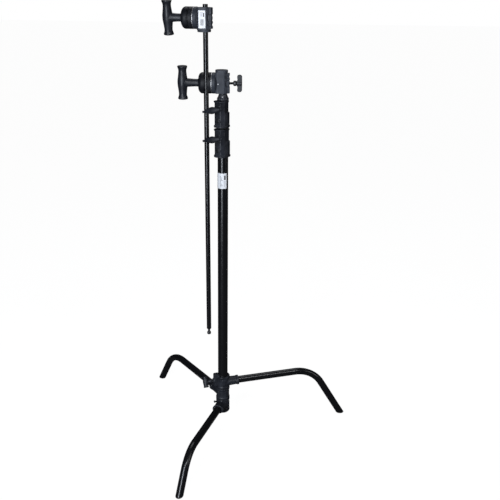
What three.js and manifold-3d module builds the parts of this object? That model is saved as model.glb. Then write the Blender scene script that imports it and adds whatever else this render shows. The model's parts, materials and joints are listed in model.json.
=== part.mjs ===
// Studio C-stand with a folding three-leg base, two telescopic risers, a grip head on
// the stand's pin, and a grip arm clamped in its jaws with a second head on top.
// Millimetres, +Z up. The design frame has the column's axis at x = y = 0 and the floor
// at z = 0; at the end the whole stand is shifted so that the origin is the middle of
// its footprint's box, on the floor.
import * as THREE from 'three';
import { mergeVertices } from 'three/addons/utils/BufferGeometryUtils.js';
import Module from 'manifold-3d';

const wasm = await Module();
wasm.setup();

// ---- driving dimensions ----
const GAP = 0.3;                       // gap between touching pieces

const TUBE_WALL = 1.8;
const COLUMN_R = 17.5;                 // lower riser, 35 mm tube
const MIDDLE_R = 15;                   // middle riser, 30 mm tube
const TOP_R = 12.5;                    // top riser, 25 mm tube
const ROD_R = 7.95;                    // 5/8 inch pin and grip arm

const LEG_R = 12.7;                    // 25.4 mm leg tube
const LEG_RISE = 0.058;                // slope of a leg's inner stretch
const LEG_BEND_R = 112;
const LEG_BEND_STEPS = 7;
const LEG_PIN_X = 45;
const LEG_INNER_END = 23;              // distance of a leg's inner end from the column axis
const FOOT_THICKNESS = 4;
const LEGS = {
  right: { azimuth: 11.5, height: 178.4, footRadius: 459, drop: 59 },
  left: { azimuth: 128.3, height: 133.7, footRadius: 430, drop: 58.5 },
  front: { azimuth: -106.4, height: 90.5, footRadius: 437.4, drop: 53 },
};

const HUB_R = 25;                      // outside of the leg castings
const SLEEVE_R = 19.5;
const TOP_CASTING = { bottom: 160, top: 207 };
const MIDDLE_CASTING = { bottom: 115, top: 158 };
const BOTTOM_CASTING = { bottom: 68, top: 113 };
const CAP_BOTTOM = 56;
const SOCKET_END = 58;                 // reach of a leg socket from the column axis
const SOCKET_WIDTH = 1.1;              // a socket is wider than it is high
const SOCKET_HEIGHT = 0.87;
const BASE_CLAMP = { azimuth: 200, z: 188, barRadius: 66, earTop: 215, earReach: 38 };
const PLUNGER = { azimuth: 196, z: 98 };

const CLAMP_AZIMUTH = -120;            // direction that both riser clamps face
const LOWER_CLAMP = {
  bottom: 1021.5, height: 91.5, step: 42, bolt: 22, screw: 64.5,
  tubeR: COLUMN_R, riserR: MIDDLE_R, bodyR: 20.4, skirtR: 23.6,
};
const UPPER_CLAMP = {
  bottom: 1118.5, height: 84.5, step: 39.5, bolt: 21, screw: 60.5,
  tubeR: MIDDLE_R, riserR: TOP_R, bodyR: 18.3, skirtR: 21.8,
};
const PAD_REACH = 31;
const PAD_HALF = 10;
const CLAMP_LIP = 2;
const WING = { reach: 65, halfLength: 37, radius: 11.5, flatten: 0.6, tilt: 12.5 };

const PIN_TOP = 1296;
const COLLAR = { bottom: 1204.3, radius: 19 };
const HEAD_Z = 1257;                   // height of the lower head's axis
const LOWER_YAW = 2;                   // degrees that each head's T-handle end turns back
const UPPER_YAW = 10;
const ARM_OFFSET = 22;                 // arm's distance in front of the lower head's axis

// Distances along a head's axis, from its 5/8 inch bore towards the T-handle
const HEAD = {
  discR: 33, blockFrom: -31.5, flangeFrom: 34.5, flangeTo: 41.5, back: 15, hub: 22, hubEnd: 34.3,
  washerEnd: 36, plate: 36.4, plateEnd: 48.8, outerThickness: 23.2,
};
const GRIP_GAP = 5;                    // gap between the jaws when they grip a 5/8 inch rod
const LOWER_HEAD = { jawGap: GRIP_GAP, barAt: 128.5, barTurn: 4 };
const UPPER_HEAD = { jawGap: 1, barAt: 119.5, barTurn: 10 };
const BAR = { halfLength: 52.3, belly: 16.4, waist: 12.6, end: 16 };
const RIBS = [[-31, -10.5], [9.5, 16.5], [23.5, 31.5]];

const ARM_TOP = 1495.3;
const ARM_TIP = 382.8;
const ARM_LEAN = 0.26;                 // degrees that the arm's top leans away from the column
const ARM_HEAD_Z = 1454.8;

const LABEL_BOTTOM = 915;
const LABEL_TOP = 967;
const LABEL_AZIMUTH = -107.5;
const LABEL_HALF_ANGLE = 62;

// ---- materials ----
const material = (color, roughness, metalness) => () =>
  new THREE.MeshStandardMaterial({ color, roughness, metalness });
const tubePaint = material(0x141417, 0.32, 0.4);
const castingPaint = material(0x1c1d21, 0.6, 0.3);
const headPaint = material(0x2b2e36, 0.55, 0.3);
const handlePaint = material(0x1a1b1f, 0.5, 0.2);
const blackPlastic = material(0x101012, 0.7, 0);
const brightSteel = material(0xb9bcc0, 0.35, 0.9);
const blackSteel = material(0x26272a, 0.4, 0.7);
const yellowBrass = material(0xa98a4a, 0.4, 0.9);
const whiteLabel = material(0xe9e9ea, 0.6, 0);

// ---- geometry helpers ----
const rad = THREE.MathUtils.degToRad;

// Merges shared vertices, drops collapsed triangles and turns the faces outwards.
function closed(geometry) {
  const bare = geometry.clone();
  bare.deleteAttribute('normal');
  bare.deleteAttribute('uv');
  const merged = mergeVertices(bare, 1e-4);
  const position = merged.attributes.position;
  const corner = [new THREE.Vector3(), new THREE.Vector3(), new THREE.Vector3()];
  const kept = [];
  let volume = 0;
  for (let i = 0; i < merged.index.count; i += 3) {
    const ids = [0, 1, 2].map((k) => merged.index.getX(i + k));
    if (ids[0] === ids[1] || ids[1] === ids[2] || ids[2] === ids[0]) continue;
    ids.forEach((id, k) => corner[k].fromBufferAttribute(position, id));
    volume += corner[0].dot(corner[1].clone().cross(corner[2]));
    kept.push(...ids);
  }
  if (volume < 0) kept.reverse();
  merged.setIndex(kept);
  return merged;
}

function toSolid(geometry) {
  const shell = closed(geometry);
  const vertProperties = new Float32Array(shell.attributes.position.array);
  const triVerts = new Uint32Array(shell.index.array);
  return new wasm.Manifold(new wasm.Mesh({ numProp: 3, vertProperties, triVerts }));
}

function toGeometry(solid) {
  const mesh = solid.getMesh();
  const geometry = new THREE.BufferGeometry();
  geometry.setAttribute('position', new THREE.BufferAttribute(mesh.vertProperties, 3));
  geometry.setIndex(new THREE.BufferAttribute(mesh.triVerts, 1));
  return geometry;
}

const unite = (...pieces) => toGeometry(pieces.map(toSolid).reduce((a, b) => a.add(b)));
const cut = (body, ...tools) => toGeometry(
  tools.map(toSolid).reduce((a, b) => a.subtract(b), toSolid(body)),
);
const common = (a, b) => toGeometry(toSolid(a).intersect(toSolid(b)));

// Solid of revolution about Z from [radius, z] points
function turned(points, sides = 16) {
  const profile = points.map(([r, z]) => new THREE.Vector2(r, z));
  return new THREE.LatheGeometry(profile, sides).rotateX(Math.PI / 2);
}

const rod = (radius, from, to, sides = 12) => turned(
  [[0, from], [radius, from], [radius, to], [0, to]], sides,
);

// Holes are faceted outside their radius, so that a round piece turns freely in them
const clearOf = (radius, sides) => radius / Math.cos(Math.PI / sides);

const bore = (radius, from, to, sides = 16) => rod(clearOf(radius, sides), from, to, sides);

function pipe(outer, innerRadius, from, to, sides = 16) {
  const inner = clearOf(innerRadius, sides);
  return turned([[inner, from], [outer, from], [outer, to], [inner, to], [inner, from]], sides);
}

// Turns a piece made along +Z so that it points along +X or along -X
const alongX = (geometry) => geometry.rotateY(Math.PI / 2);
const towardsHandle = (geometry) => geometry.rotateY(-Math.PI / 2);

function block(x, y, z) {
  const geometry = new THREE.BoxGeometry(x[1] - x[0], y[1] - y[0], z[1] - z[0]);
  return geometry.translate((x[0] + x[1]) / 2, (y[0] + y[1]) / 2, (z[0] + z[1]) / 2);
}

function prism(shape, from, to, segments = 6) {
  const options = { depth: to - from, bevelEnabled: false, curveSegments: segments };
  return new THREE.ExtrudeGeometry(shape, options).translate(0, 0, from);
}

function circle(radius, sides) {
  const angles = Array.from({ length: sides }, (_, i) => (i / sides) * 2 * Math.PI);
  return angles.map((a) => new THREE.Vector2(radius * Math.cos(a), radius * Math.sin(a)));
}

function piece(name, geometry, finish) {
  const mesh = new THREE.Mesh(closed(geometry), finish());
  mesh.name = name;
  return mesh;
}

function placed(parts, { x = 0, y = 0, z = 0, azimuth = 0 } = {}) {
  const group = new THREE.Group();
  group.add(...parts);
  group.position.set(x, y, z);
  group.rotation.z = rad(azimuth);
  return group;
}

// ---- legs ----
// Centreline of a leg: one step along each straight stretch and even steps round the bend
class LegLine extends THREE.Curve {
  constructor(layout, bendSteps) {
    super();
    Object.assign(this, layout, { bendSteps, steps: bendSteps + 2 });
  }

  getUtoTmapping(u) {
    return u;
  }

  getPoint(t, target = new THREE.Vector3()) {
    const step = t * this.steps;
    if (step < 1) return target.lerpVectors(this.innerEnd, this.bendStart, step);
    if (step > this.steps - 1) {
      return target.lerpVectors(this.bendEnd, this.pastFloor, step - this.steps + 1);
    }
    const angle = this.start - ((step - 1) / this.bendSteps) * this.sweep;
    target.set(Math.cos(angle), 0, Math.sin(angle)).multiplyScalar(LEG_BEND_R);
    return target.add(this.centre);
  }
}

// Corner points of a leg's centreline in its own X-Z plane
function legLayout({ height, footRadius, drop }) {
  const steep = Math.tan(rad(drop));
  const cornerX = (footRadius * steep - height) / (steep + LEG_RISE);
  const corner = new THREE.Vector3(cornerX, 0, height + LEG_RISE * cornerX);
  const inward = new THREE.Vector3(1, 0, LEG_RISE).normalize();
  const down = new THREE.Vector3(Math.cos(rad(drop)), 0, -Math.sin(rad(drop)));
  const sweep = inward.angleTo(down);
  const tangent = LEG_BEND_R * Math.tan(sweep / 2);
  const bendStart = corner.clone().addScaledVector(inward, -tangent);
  const below = new THREE.Vector3(inward.z, 0, -inward.x);
  const centre = bendStart.clone().addScaledVector(below, LEG_BEND_R);
  const start = Math.PI / 2 + Math.atan(LEG_RISE);
  const bendEnd = corner.clone().addScaledVector(down, tangent);
  const foot = new THREE.Vector3(footRadius, 0, 0);
  const innerEnd = new THREE.Vector3(LEG_INNER_END, 0, height + LEG_RISE * LEG_INNER_END);
  const pastFloor = foot.clone().addScaledVector(down, 20);
  return { bendStart, bendEnd, centre, start, sweep, foot, innerEnd, down, pastFloor };
}

function legTube(leg) {
  const path = new LegLine(legLayout(leg), LEG_BEND_STEPS);
  const shape = new THREE.Shape(circle(LEG_R, 14));
  shape.holes.push(new THREE.Path(circle(LEG_R - TUBE_WALL, 10)));
  const tube = new THREE.ExtrudeGeometry(shape, { steps: path.steps, extrudePath: path });
  return cut(tube, block([300, 600], [-40, 40], [-60, FOOT_THICKNESS]), legPinHole(leg));
}

function legPinHole(leg) {
  const z = leg.height + LEG_RISE * LEG_PIN_X;
  return bore(3, -30, 30, 6).rotateX(Math.PI / 2).translate(LEG_PIN_X, 0, z);
}

// Plug with a foot under the tube's cut end and a spigot inside it
function legFoot(leg) {
  const { foot, down } = legLayout(leg);
  const up = new THREE.Vector3(0, 0, 1);
  const lean = new THREE.Quaternion().setFromUnitVectors(up, down.clone().negate());
  const inTube = (radius) => rod(radius, -30, 60, 14).applyQuaternion(lean).translate(foot.x, 0, 0);
  const sole = common(inTube(LEG_R), block([300, 600], [-40, 40], [0, FOOT_THICKNESS - GAP]));
  const spigot = common(inTube(LEG_R - TUBE_WALL - 1), block([300, 600], [-40, 40], [2, 22]));
  return unite(sole, spigot);
}

// Ring that turns on the base sleeve, with a tapered socket for its leg
function legCasting(leg, { bottom, top }) {
  const ring = turned([
    [0, bottom], [HUB_R - 1.5, bottom], [HUB_R, bottom + 1.5],
    [HUB_R, top - 1.5], [HUB_R - 1.5, top], [0, top],
  ]);
  const rise = Math.atan(LEG_RISE);
  const taper = [[0, 8], [19, 8], [17.2, 50], [18.8, 51], [18.8, SOCKET_END], [0, SOCKET_END]];
  const alongLeg = (geometry) => alongX(geometry).rotateY(-rise).translate(0, 0, leg.height);
  const socket = alongLeg(turned(taper, 14).scale(SOCKET_HEIGHT, SOCKET_WIDTH, 1));
  const legBore = alongLeg(bore(LEG_R + GAP, LEG_INNER_END - GAP, 80, 14));
  const sleeveBore = bore(SLEEVE_R + GAP, bottom - 1, top + 1);
  return cut(unite(ring, socket), legBore, sleeveBore, legPinHole(leg));
}

function legParts(side, castingName, span, extraCut) {
  const leg = LEGS[side];
  const whole = legCasting(leg, span);
  const casting = extraCut ? extraCut(whole) : whole;
  const pinZ = leg.height + LEG_RISE * LEG_PIN_X;
  const pin = rod(2.6, -20, 20, 8).rotateX(Math.PI / 2).translate(LEG_PIN_X, 0, pinZ);
  return placed([
    piece(castingName, casting, castingPaint),
    piece(`${side}_leg`, legTube(leg), tubePaint),
    piece(`${side}_leg_foot`, legFoot(leg), blackPlastic),
    piece(`${side}_leg_pin`, pin, blackSteel),
  ], { azimuth: leg.azimuth });
}

// The top casting also has the ear for the screw that locks the column
function addBaseEar(casting) {
  const turn = rad(BASE_CLAMP.azimuth - LEGS.right.azimuth);
  const ear = block([12, BASE_CLAMP.earReach], [-10, 10], [TOP_CASTING.bottom + 8, BASE_CLAMP.earTop]);
  const sleeveBore = bore(SLEEVE_R + GAP, 150, 220);
  const hole = alongX(bore(4.4, 15, 45, 8)).translate(0, 0, BASE_CLAMP.z);
  return cut(unite(casting, ear.rotateZ(turn)), sleeveBore, hole.rotateZ(turn));
}

function addPlungerHole(casting) {
  const turn = rad(PLUNGER.azimuth - LEGS.front.azimuth);
  const hole = alongX(bore(2.4, 20.5, 40, 8)).translate(0, 0, PLUNGER.z);
  return cut(casting, hole.rotateZ(turn));
}

// T-shaped handle: a waisted bar along Z on a neck that points along -X
function tBar({ halfLength, belly, waist, end }, sides = 14) {
  const half = [
    [0, halfLength], [end - 1.5, halfLength], [end, halfLength * 0.96], [end - 0.6, halfLength * 0.92],
    [waist, halfLength * 0.76], [(belly + waist) / 2, halfLength * 0.42], [belly, 0],
  ];
  const mirrored = half.slice(0, -1).reverse().map(([r, z]) => [r, -z]);
  return turned([...half, ...mirrored].reverse(), sides);
}

function baseParts() {
  const clampHole = alongX(bore(4.4, 10, 30, 8))
    .translate(0, 0, BASE_CLAMP.z).rotateZ(rad(BASE_CLAMP.azimuth));
  const sleeve = cut(pipe(SLEEVE_R, COLUMN_R + GAP, CAP_BOTTOM + 12, TOP_CASTING.top + 0.5), clampHole);
  const capRim = CAP_BOTTOM + 11.6;
  const cap = cut(turned([
    [0, CAP_BOTTOM], [14, CAP_BOTTOM], [20, CAP_BOTTOM + 1.5], [23.5, CAP_BOTTOM + 5],
    [HUB_R, capRim], [SLEEVE_R - 3, capRim], [SLEEVE_R - 3, capRim + 6], [0, capRim + 6],
  ]), bore(4.4, 40, 90, 8));
  const boltHead = rod(8, CAP_BOTTOM - 5, CAP_BOTTOM - GAP, 6);
  const capBolt = unite(boltHead, rod(4, CAP_BOTTOM - 3, capRim + 5, 8));
  const washer = (z) => pipe(HUB_R - 2, SLEEVE_R + GAP, z + GAP, z + 2 - GAP);
  const plunger = unite(
    alongX(rod(2, 22, 29, 8)),
    new THREE.SphereGeometry(4.2, 10, 6).translate(30.5, 0, 0),
  );
  return placed([
    piece('base_sleeve', sleeve, blackSteel),
    legParts('right', 'top_leg_casting', TOP_CASTING, addBaseEar),
    legParts('left', 'middle_leg_casting', MIDDLE_CASTING),
    legParts('front', 'bottom_leg_casting', BOTTOM_CASTING, addPlungerHole),
    piece('upper_leg_washer', washer(MIDDLE_CASTING.top), blackPlastic),
    piece('lower_leg_washer', washer(BOTTOM_CASTING.top), blackPlastic),
    piece('base_end_cap', cap, castingPaint),
    piece('base_cap_bolt', capBolt, blackSteel),
    placed([piece('leg_lock_plunger', plunger, blackSteel)], { z: PLUNGER.z, azimuth: PLUNGER.azimuth }),
    baseClamp(),
  ]);
}

function baseClamp() {
  const { azimuth, z, barRadius } = BASE_CLAMP;
  const screw = alongX(rod(4, COLUMN_R + GAP + 0.2, 50, 10));
  const bar = tBar({ halfLength: 20, belly: 9.8, waist: 8.6, end: 9.6 }, 10).rotateX(rad(30));
  const neckProfile = [[0, 0], [6.4, 0], [6.4, 8], [5, 18], [0, 18]];
  const neck = alongX(turned(neckProfile, 10)).translate(barRadius - 22, 0, 0);
  const socket = alongX(bore(4.3, 30, 50.3, 8));
  const handle = cut(unite(bar.translate(barRadius, 0, 0), neck), socket);
  return placed([
    piece('base_clamp_screw', screw, blackSteel),
    piece('base_clamp_handle', handle, handlePaint),
  ], { z, azimuth });
}

// ---- risers ----
// Section of a clamp casting: a flat pad, two flanks and a facetted back of a given radius,
// with the pad and flanks moved outwards for a lip
function clampSection(radius, lip = 0) {
  const flank = [20 + lip, 19.5 + lip];
  const facets = [[0.26, 0.97], [-0.44, 0.9], [-0.87, 0.49], [-1, 0]];
  const back = facets.map(([x, y]) => [x * radius, y * radius]);
  const half = [[PAD_REACH + lip, PAD_HALF + lip / 2], flank, ...back];
  const mirrored = half.slice(0, -1).reverse().map(([x, y]) => [x, -y]);
  return new THREE.Shape([...half, ...mirrored].map(([x, y]) => new THREE.Vector2(x, y)));
}

// Facetted collar with a flat pad for the clamp screw and the bolt below it
function clampCasting({ height, tubeR, riserR, bodyR, skirtR, step, bolt, screw }) {
  const boss = (radius, z, from, to) => alongX(rod(radius, from, to, 14)).translate(0, 0, z);
  const hole = (radius, z, from, to) => alongX(bore(radius, from, to, 10)).translate(0, 0, z);
  const body = unite(
    prism(clampSection(bodyR), 0, height),
    prism(clampSection(skirtR), 6, height * 0.56),
    prism(clampSection(bodyR + 1.6, CLAMP_LIP), height - 5, height),
    prism(clampSection(skirtR + 1.9, CLAMP_LIP), 0, 6),
    boss(10.5, screw, 20, PAD_REACH + 5),
    boss(9.6, bolt, 20, PAD_REACH + 3.5),
  );
  return cut(
    body,
    bore(tubeR + GAP, -1, step),
    bore(riserR + GAP + 0.1, step - 1, height + 1),
    hole(5.3, screw, 5, 60),
    hole(4.3, bolt, 10, 60),
    hole(7, bolt, PAD_REACH - 4, 60),
  );
}

function riserClamp(level, spec) {
  const { bottom, riserR, tubeR, bolt, screw } = spec;
  const screwFrom = riserR + 6;
  const shoe = alongX(rod(4.8, riserR + GAP + 0.2, screwFrom - GAP, 10));
  const hexKey = alongX(rod(3.4, PAD_REACH - 0.5, 60, 6));
  const shank = alongX(rod(4, tubeR + GAP + 0.2, PAD_REACH - 2, 8));
  const boltHead = alongX(rod(6.6, PAD_REACH - 3.7, PAD_REACH + 2.5, 12));
  const castingBolt = cut(unite(shank, boltHead), hexKey);
  const clamp = [
    piece(`${level}_clamp_casting`, clampCasting(spec), castingPaint),
    placed([piece(`${level}_casting_bolt`, castingBolt, blackSteel)], { z: bolt }),
    placed([piece(`${level}_clamp_shoe`, shoe, yellowBrass), ...wingHandle(level, screwFrom)], { z: screw }),
  ];
  return placed(clamp, { z: bottom, azimuth: CLAMP_AZIMUTH });
}

// Spindle-shaped wing with ball tips across the clamp screw
function wingHandle(level, screwFrom) {
  const { reach, halfLength, radius, flatten, tilt } = WING;
  const half = [
    [0, 1], [3.2, 0.97], [4, 0.9], [3.4, 0.83],
    [radius * 0.5, 0.68], [radius * 0.86, 0.36], [radius, 0],
  ].map(([r, t]) => [r, t * halfLength]);
  const mirrored = half.slice(0, -1).reverse().map(([r, z]) => [r, -z]);
  const wing = turned([...half, ...mirrored].reverse(), 10).scale(flatten, 1, 1).rotateX(rad(90 + tilt));
  const neckFrom = reach - 22;
  const neckProfile = [[0, 0], [7.2, 0], [7.2, 4], [5.4, 8], [5.4, 22], [0, 22]];
  const neck = alongX(turned(neckProfile, 12)).translate(neckFrom, 0, 0);
  const screw = alongX(rod(4.8, screwFrom, neckFrom + 9, 10));
  const socket = alongX(bore(5.1, 20, neckFrom + 9 + GAP, 8));
  return [
    piece(`${level}_clamp_screw`, screw, blackSteel),
    piece(`${level}_clamp_handle`, cut(unite(wing.translate(reach, 0, 0), neck), socket), handlePaint),
  ];
}

// Sticker wrapped round the column's front
function columnLabel() {
  const from = rad(LABEL_AZIMUTH - LABEL_HALF_ANGLE);
  const to = rad(LABEL_AZIMUTH + LABEL_HALF_ANGLE);
  const label = new THREE.Shape();
  label.absarc(0, 0, COLUMN_R + 0.9, from, to, false);
  label.absarc(0, 0, COLUMN_R + GAP, to, from, true);
  label.closePath();
  return prism(label, LABEL_BOTTOM, LABEL_TOP, 7);
}

function riserParts() {
  const columnTop = LOWER_CLAMP.bottom + LOWER_CLAMP.step - 1;
  const middleTop = UPPER_CLAMP.bottom + UPPER_CLAMP.step - 1;
  const columnBottom = CAP_BOTTOM + 19;
  const middleBottom = columnBottom + 20;
  const topBottom = middleBottom + 20;
  const bushBottom = LOWER_CLAMP.bottom + LOWER_CLAMP.height + 0.5;
  const middleGuide = pipe(COLUMN_R - TUBE_WALL - GAP, MIDDLE_R - 4, middleBottom - 14, middleBottom - GAP);
  const topGuide = pipe(MIDDLE_R - TUBE_WALL - GAP, TOP_R - 4, topBottom - 14, topBottom - GAP);
  return placed([
    piece('lower_riser_tube', pipe(COLUMN_R, COLUMN_R - TUBE_WALL, columnBottom, columnTop, 20), tubePaint),
    piece('column_label', columnLabel(), whiteLabel),
    riserClamp('lower', LOWER_CLAMP),
    piece('middle_riser_tube', pipe(MIDDLE_R, MIDDLE_R - TUBE_WALL, middleBottom, middleTop), tubePaint),
    piece('middle_riser_guide', middleGuide, blackPlastic),
    piece('upper_casting_bush', pipe(20, MIDDLE_R + GAP, bushBottom, UPPER_CLAMP.bottom - GAP), blackPlastic),
    riserClamp('upper', UPPER_CLAMP),
    piece('top_riser_tube', pipe(TOP_R, TOP_R - TUBE_WALL, topBottom, COLLAR.bottom + 8), tubePaint),
    piece('top_riser_guide', topGuide, blackPlastic),
    ...pinParts(),
  ]);
}

// Collar on the top riser, and the 5/8 inch pin with its locking groove
function pinParts() {
  const { bottom, radius } = COLLAR;
  const neckTop = HEAD_Z + HEAD.blockFrom - GAP;
  const dowelZ = bottom + 11;
  const collar = cut(
    turned([
      [0, bottom], [radius, bottom], [radius, bottom + 6], [15.5, bottom + 12],
      [13, neckTop], [0, neckTop],
    ], 12),
    bore(TOP_R + GAP, bottom - 1, bottom + 8.3),
    bore(ROD_R + GAP, bottom + 10, neckTop + 1),
    bore(2.2, -30, -14, 8).rotateX(-Math.PI / 2).translate(0, 0, dowelZ).rotateZ(rad(-4)),
  );
  const pin = turned([
    [0, bottom + 10.5], [ROD_R, bottom + 10.5], [ROD_R, HEAD_Z - 14],
    [6.8, HEAD_Z - 11], [6.8, HEAD_Z + 11],
    [ROD_R, HEAD_Z + 14], [ROD_R, PIN_TOP - 1.5], [ROD_R - 1.5, PIN_TOP], [0, PIN_TOP],
  ]);
  const dowel = rod(1.9, -16.9, -14.4, 8)
    .rotateX(-Math.PI / 2).translate(0, 0, dowelZ).rotateZ(rad(-4));
  return [
    piece('pin_collar', collar, castingPaint),
    piece('baby_pin', pin, blackSteel),
    piece('collar_dowel', dowel, brightSteel),
  ];
}

// ---- grip heads ----
// Casting with the 5/8 inch bore, a flange over its top, ribs behind and the fixed disc
function receiver() {
  const { discR, blockFrom, flangeFrom, flangeTo, back, hub, hubEnd } = HEAD;
  const outline = new THREE.Shape();
  outline.moveTo(-hub - 1, -18);
  outline.lineTo(-hub + 5, -20.5);
  outline.lineTo(6, -20.5);
  outline.lineTo(back, -13);
  outline.lineTo(back, 13);
  outline.lineTo(6, 20.5);
  outline.lineTo(-hub + 5, 20.5);
  outline.lineTo(-hub - 1, 18);
  outline.closePath();
  const rim = new THREE.Shape();
  rim.absarc(-8, -4, 16, Math.PI, 1.5 * Math.PI, false);
  rim.absarc(0, -4, 16, -0.5 * Math.PI, 0, false);
  rim.absarc(0, 4, 16, 0, 0.5 * Math.PI, false);
  rim.absarc(-8, 4, 16, 0.5 * Math.PI, Math.PI, false);
  const ribs = RIBS.map((span) => block([10, 21.5], [-11, 11], span));
  const disc = towardsHandle(turned([
    [0, hub - 4], [20, hub - 4], [discR - 6, hub], [discR, hub + 2], [discR, hubEnd], [0, hubEnd],
  ], 22));
  const screwBoss = alongX(rod(8, 10, 21.5, 12));
  return cut(
    unite(
      prism(outline, blockFrom, flangeFrom + 1), prism(rim, flangeFrom, flangeTo, 4),
      disc, screwBoss, ...ribs,
    ),
    bore(ROD_R + GAP + 0.1, blockFrom - 1, flangeTo + 1),
    alongX(bore(4.3, 2, 40, 8)),
    towardsHandle(bore(6.3, 11, hubEnd + 5, 12)),
  );
}

// Grooves along Z that the jaws grip a rod in: a large one and a small one
function jawGrooves(split) {
  const groove = (radius, offset) => bore(radius, -60, 60, 12).translate(-split, offset, 0);
  return [groove(ROD_R + 0.55, -ARM_OFFSET), groove(6.2, ARM_OFFSET)];
}

function innerPlate() {
  const disc = towardsHandle(pipe(HEAD.discR, 6.3, HEAD.plate, HEAD.plateEnd, 22));
  return cut(disc, ...jawGrooves(HEAD.plateEnd + GRIP_GAP / 2));
}

const outerFace = (spec) => HEAD.plateEnd + spec.jawGap;
const outerEnd = (spec) => outerFace(spec) + HEAD.outerThickness;

function outerPlate(spec) {
  const { discR } = HEAD;
  const face = outerFace(spec);
  const outer = outerEnd(spec);
  const disc = towardsHandle(turned([
    [6.5, face], [discR, face], [discR, outer - 9], [discR - 2.5, outer - 5], [discR - 8, outer],
    [15, outer], [15, outer - 4], [6.5, outer - 4], [6.5, face],
  ], 22));
  return cut(disc, ...jawGrooves(face - GRIP_GAP / 2));
}

function tHandle(spec) {
  const { barAt, barTurn } = spec;
  const neckFrom = outerEnd(spec) - 2.2;
  const neck = towardsHandle(turned([
    [0, neckFrom], [12.4, neckFrom], [11.8, neckFrom + 16], [14, barAt - 12], [15, barAt], [0, barAt],
  ]));
  const threads = towardsHandle(bore(6.3, neckFrom - 1, barAt - 15, 12));
  const bar = tBar(BAR).rotateX(rad(barTurn)).translate(-barAt, 0, 0);
  return cut(unite(neck, bar), threads);
}

function headPieces(level, spec) {
  const { hubEnd, washerEnd } = HEAD;
  const outer = outerEnd(spec);
  const bolt = towardsHandle(rod(6, 12, spec.barAt - 16, 12));
  const washer = towardsHandle(pipe(31.5, 6.3, hubEnd + GAP, washerEnd, 22));
  const thrust = towardsHandle(pipe(14.4, 6.3, outer - 4 + GAP, outer - 2.2 - GAP, 14));
  return [
    piece(`${level}_head_receiver`, receiver(), headPaint),
    piece(`${level}_friction_washer`, washer, brightSteel),
    piece(`${level}_inner_plate`, innerPlate(), castingPaint),
    piece(`${level}_centre_bolt`, bolt, blackSteel),
    piece(`${level}_outer_plate`, outerPlate(spec), castingPaint),
    piece(`${level}_thrust_washer`, thrust, brightSteel),
    piece(`${level}_t_handle`, tHandle(spec), handlePaint),
  ];
}

// Screw that bites into the pin's groove, and its winged knob
function lockScrew() {
  const screw = unite(alongX(rod(4, 7.4, 35, 10)), alongX(rod(8.5, 33, 43.6, 12)));
  const outline = new THREE.Shape();
  outline.moveTo(44, -7);
  outline.quadraticCurveTo(50, -12, 45, -22);
  outline.quadraticCurveTo(53, -31, 61, -22);
  outline.lineTo(61, 22);
  outline.quadraticCurveTo(53, 31, 45, 22);
  outline.quadraticCurveTo(50, 12, 44, 7);
  outline.closePath();
  const knob = prism(outline, -6.5, 6.5, 5).rotateX(Math.PI / 2);
  return [piece('lower_lock_screw', screw, blackSteel), piece('lower_lock_knob', knob, handlePaint)];
}

function lowerHead() {
  return placed([...headPieces('lower', LOWER_HEAD), ...lockScrew()], { z: HEAD_Z, azimuth: -LOWER_YAW });
}

// ---- grip arm with the upper head ----
function gripArm() {
  const armTube = pipe(ROD_R, ROD_R - 3, ARM_TIP + 24 - HEAD_Z, ARM_TOP - HEAD_Z);
  const tip = turned([
    [0, 0], [5.4, 0], [6.8, 1.5], [6.8, 8], [5.4, 10], [3.8, 12], [3.8, 18], [ROD_R - 1, 21], [ROD_R, 22.5],
    [ROD_R, 24 - GAP], [ROD_R - 3 - GAP, 24 - GAP], [ROD_R - 3 - GAP, 44], [0, 44],
  ]).translate(0, 0, ARM_TIP - HEAD_Z);
  const label = block([-16.6, 4.6], [20.8, 21.4], [-22.5, 29.5]);
  const grub = alongX(rod(4, ROD_R + GAP, 18, 8));
  const head = placed([
    ...headPieces('upper', UPPER_HEAD),
    piece('upper_head_label', label, whiteLabel),
    piece('upper_grub_screw', grub, blackSteel),
  ], { z: ARM_HEAD_Z - HEAD_Z });
  head.rotation.set(Math.PI, 0, 0);
  const turnedHead = placed([head], { azimuth: -UPPER_YAW });
  const arm = placed([
    piece('arm_rod', armTube, tubePaint),
    piece('arm_tip', tip, blackSteel),
    turnedHead,
  ]);
  const along = HEAD.plateEnd + GRIP_GAP / 2;
  const yaw = rad(LOWER_YAW);
  arm.position.set(
    -along * Math.cos(yaw) - ARM_OFFSET * Math.sin(yaw),
    along * Math.sin(yaw) - ARM_OFFSET * Math.cos(yaw),
    HEAD_Z,
  );
  arm.rotation.y = -rad(ARM_LEAN);
  return arm;
}

const stand = placed([baseParts(), riserParts(), lowerHead(), gripArm()]);
stand.name = 'c_stand';
stand.updateMatrixWorld(true);
const footprint = new THREE.Box3().setFromObject(stand, true);
stand.position.set(-(footprint.min.x + footprint.max.x) / 2, -(footprint.min.y + footprint.max.y) / 2, 0);

export default stand;
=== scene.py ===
import json
import math

import bmesh
import bpy
from mathutils import Matrix, Vector


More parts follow.
